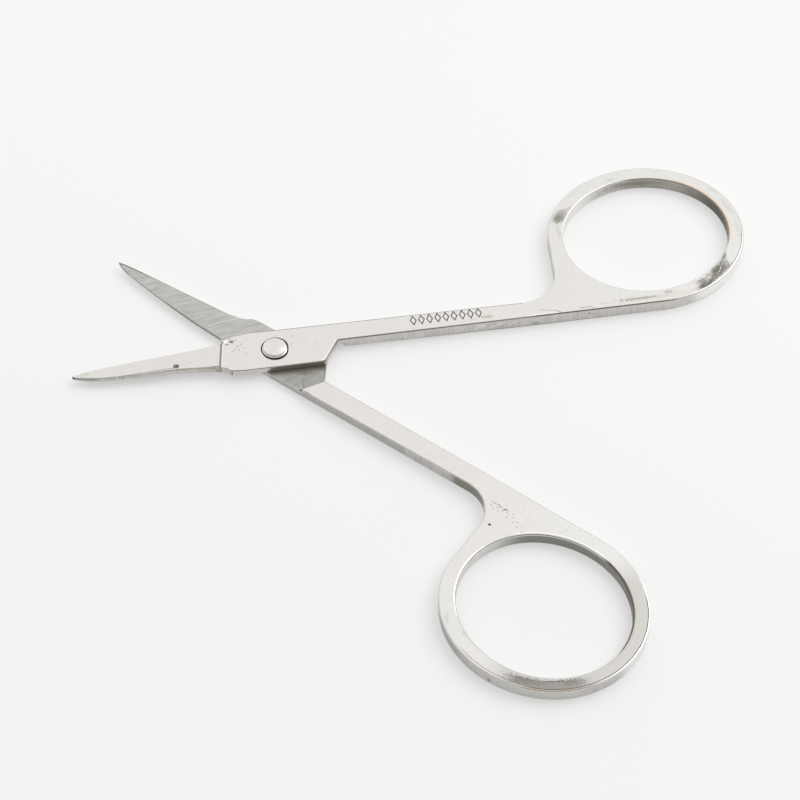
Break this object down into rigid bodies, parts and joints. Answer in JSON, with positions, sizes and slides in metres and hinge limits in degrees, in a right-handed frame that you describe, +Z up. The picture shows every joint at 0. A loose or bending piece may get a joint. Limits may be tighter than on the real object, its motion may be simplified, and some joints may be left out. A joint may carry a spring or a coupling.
{
  "type": "manicure scissors",
  "caption": "Slim all-steel manicure scissors with straight pointed blades, flat shanks and oval finger rings, crossed and turning on a domed rivet, shown open.",
  "frame": {"origin": "on the pivot axis, at the flat underside of the rivet's tail, which is level with the surface that the scissors lie on", "axes": "+Z up along the pivot axis, +X towards the finger rings along the line that halves the opening, +Y towards the upper half's ring; the blades point to -X"},
  "size_m": [0.0786, 0.087, 0.0024],
  "materials": {
    "upper_steel": "satin, finely ground",
    "lower_steel": "satin, finely ground",
    "rivet_steel": "polished by tumbling"
  },
  "bodies": {
    "lower_half": {"lower_half": "lower_steel", "pivot_rivet": "rivet_steel"},
    "upper_half": {"upper_half": "upper_steel"}
  },
  "joints": [
    {"name": "pivot", "type": "hinge", "parent": "lower_half", "child": "upper_half", "pos_m": [0, 0, 0], "axis": [0, 0, 1], "range_deg": [-46.5, 92]}
  ]
}
